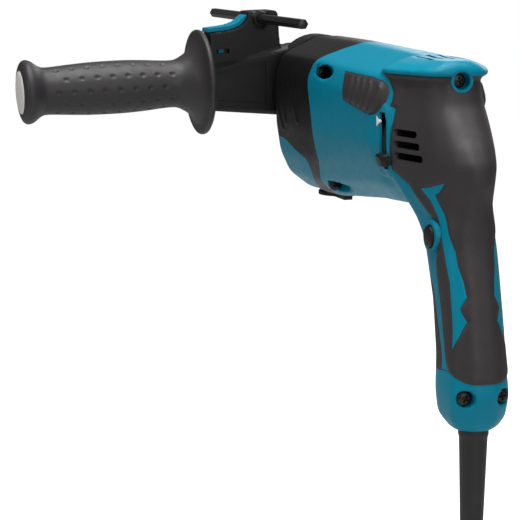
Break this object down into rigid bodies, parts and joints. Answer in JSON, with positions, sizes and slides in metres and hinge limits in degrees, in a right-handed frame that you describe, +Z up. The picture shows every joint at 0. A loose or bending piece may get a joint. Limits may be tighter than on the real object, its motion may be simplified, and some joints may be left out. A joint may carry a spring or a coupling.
{
  "type": "rotary hammer",
  "caption": "Corded pistol-grip rotary hammer with a bit chuck, swivelling side handle, depth rod and coiled cord.",
  "frame": {"origin": "middle of the hand grip, where a hand or a holder carries the tool", "axes": "-X forward along the drill axis, out of the chuck; +Y to the tool's right; +Z up"},
  "size_m": [0.385, 0.2463, 0.4929],
  "materials": {
    "black_housing": "satin",
    "teal_plastic": "satin",
    "black_rubber": "matte",
    "black_plastic": "satin",
    "white_plastic": "satin",
    "dark_steel": "satin",
    "bright_steel": "brushed",
    "motor_iron": "matte",
    "copper": "satin",
    "cast_aluminium": "satin",
    "carbon": "matte"
  },
  "bodies": {
    "housing": {"gear_housing": "black_housing", "lower_cover": "teal_plastic", "barrel": "black_housing", "motor_housing": "teal_plastic", "rear_cover": "teal_plastic", "rear_grip": "black_rubber", "thumb_pads": "black_rubber", "housing_screws": "dark_steel", "cover_screw": "dark_steel", "collar_screws": "dark_steel", "bearing_plate": "cast_aluminium", "motor_front_bearing": "bright_steel", "mid_rear_bearing": "bright_steel", "mid_front_bearing": "bright_steel", "stator": "motor_iron", "field_coils": "copper", "fan_baffle": "black_plastic", "motor_rear_bearing": "bright_steel", "rear_bearing_seat": "black_plastic", "spindle_bearing": "bright_steel", "spindle_rear_bearing": "bright_steel", "oil_seal": "black_rubber", "switch_body": "black_plastic", "cord_clamp": "black_plastic", "cord_guard": "black_rubber", "cord": "black_rubber", "cord_coil": "black_rubber", "plug": "black_rubber", "cord_tie": "black_plastic"},
    "armature": {"armature_shaft": "bright_steel", "armature_core": "motor_iron", "commutator": "copper", "fan": "black_plastic"},
    "brush_gear": {"brush_ring": "black_plastic", "brushes": "carbon"},
    "mid_shaft_set": {"mid_shaft": "bright_steel", "mid_gear": "bright_steel", "drive_gear": "bright_steel", "swash_hub": "bright_steel"},
    "swash": {"swash_ring": "bright_steel"},
    "piston_set": {"piston": "bright_steel"},
    "wrist": {"wrist_pin": "bright_steel"},
    "striker_set": {"striker": "bright_steel", "striker_seal": "black_rubber"},
    "bolt": {"impact_bolt": "bright_steel"},
    "spindle_set": {"spindle": "bright_steel", "spindle_gear": "bright_steel", "locking_balls": "bright_steel", "dust_cap": "black_rubber", "chuck_spring": "bright_steel"},
    "chuck_sleeve": {"chuck_cover": "black_plastic"},
    "knob": {"mode_knob": "black_plastic"},
    "trigger_set": {"trigger": "black_plastic"},
    "button": {"lock_button": "black_plastic"},
    "side_handle": {"side_handle_base": "black_plastic", "clamp_bolt": "dark_steel"},
    "side_grip_set": {"side_grip": "black_rubber", "grip_end_disc": "white_plastic"},
    "rod": {"depth_rod": "dark_steel"},
    "rod_lock": {"depth_rod_lock": "teal_plastic"}
  },
  "joints": [
    {"name": "armature_spin", "type": "hinge", "parent": "housing", "child": "armature", "pos_m": [-0.1, 0, 0.066], "axis": [1, 0, 0], "continuous": true},
    {"name": "mid_shaft_spin", "type": "hinge", "parent": "housing", "child": "mid_shaft_set", "pos_m": [-0.18, 0, 0.044], "axis": [1, 0, 0], "continuous": true},
    {"name": "spindle_spin", "type": "hinge", "parent": "housing", "child": "spindle_set", "pos_m": [-0.24, 0, 0.09], "axis": [1, 0, 0], "continuous": true},
    {"name": "swash_rock", "type": "hinge", "parent": "housing", "child": "swash", "pos_m": [-0.178, 0, 0.044], "axis": [0, 1, 0], "range_deg": [-8, 8]},
    {"name": "piston_stroke", "type": "slide", "parent": "housing", "child": "piston_set", "axis": [1, 0, 0], "range_m": [-0.0065, 0.0065]},
    {"name": "wrist_turn", "type": "hinge", "parent": "piston_set", "child": "wrist", "pos_m": [-0.178, 0, 0.09], "axis": [0, 1, 0], "range_deg": [-8.5, 8.5]},
    {"name": "striker_flight", "type": "slide", "parent": "spindle_set", "child": "striker_set", "axis": [1, 0, 0], "range_m": [0, 0.007]},
    {"name": "bolt_travel", "type": "slide", "parent": "spindle_set", "child": "bolt", "axis": [1, 0, 0], "range_m": [0, 0.002]},
    {"name": "chuck_pull", "type": "slide", "parent": "spindle_set", "child": "chuck_sleeve", "axis": [1, 0, 0], "range_m": [0, 0.008], "stiffness_N_per_m": 1500, "springref_m": -0.002, "deforming": ["chuck_spring"]},
    {"name": "mode_turn", "type": "hinge", "parent": "housing", "child": "knob", "pos_m": [-0.195, 0, 0.015], "axis": [0, 0, 1], "range_deg": [-45, 45]},
    {"name": "trigger_pull", "type": "slide", "parent": "housing", "child": "trigger_set", "axis": [1, 0, 0], "range_m": [0, 0.007], "stiffness_N_per_m": 800, "springref_m": -0.002},
    {"name": "lock_press", "type": "slide", "parent": "housing", "child": "button", "axis": [0, 1, 0], "range_m": [0, 0.003], "stiffness_N_per_m": 500, "springref_m": -0.001},
    {"name": "reverse_turn", "type": "hinge", "parent": "housing", "child": "brush_gear", "pos_m": [-0.049, 0, 0.066], "axis": [1, 0, 0], "range_deg": [-38, 0]},
    {"name": "side_handle_swivel", "type": "hinge", "parent": "housing", "child": "side_handle", "pos_m": [-0.24, 0, 0.09], "axis": [1, 0, 0], "range_deg": [-150, 60]},
    {"name": "side_grip_twist", "type": "hinge", "parent": "side_handle", "child": "side_grip_set", "pos_m": [-0.24, -0.08395, 0.08722], "axis": [0, 0.9995, 0.0332], "continuous": true},
    {"name": "depth_rod_slide", "type": "slide", "parent": "side_handle", "child": "rod", "axis": [1, 0, 0], "range_m": [-0.06, 0.06]},
    {"name": "rod_lock_press", "type": "hinge", "parent": "side_handle", "child": "rod_lock", "pos_m": [-0.24, -0.05056, 0.13625], "axis": [1, 0, 0], "range_deg": [0, 3], "stiffness_Nm_per_rad": 0.6, "springref_deg": -2.86}
  ],
  "couplings": [
    {"joint": "mid_shaft_spin", "follows": "armature_spin", "ratio": -0.22222},
    {"joint": "spindle_spin", "follows": "armature_spin", "ratio": 0.2037},
    {"joint": "piston_stroke", "follows": "swash_rock", "m_per_rad": 0.046},
    {"joint": "wrist_turn", "follows": "swash_rock", "ratio": 1}
  ]
}
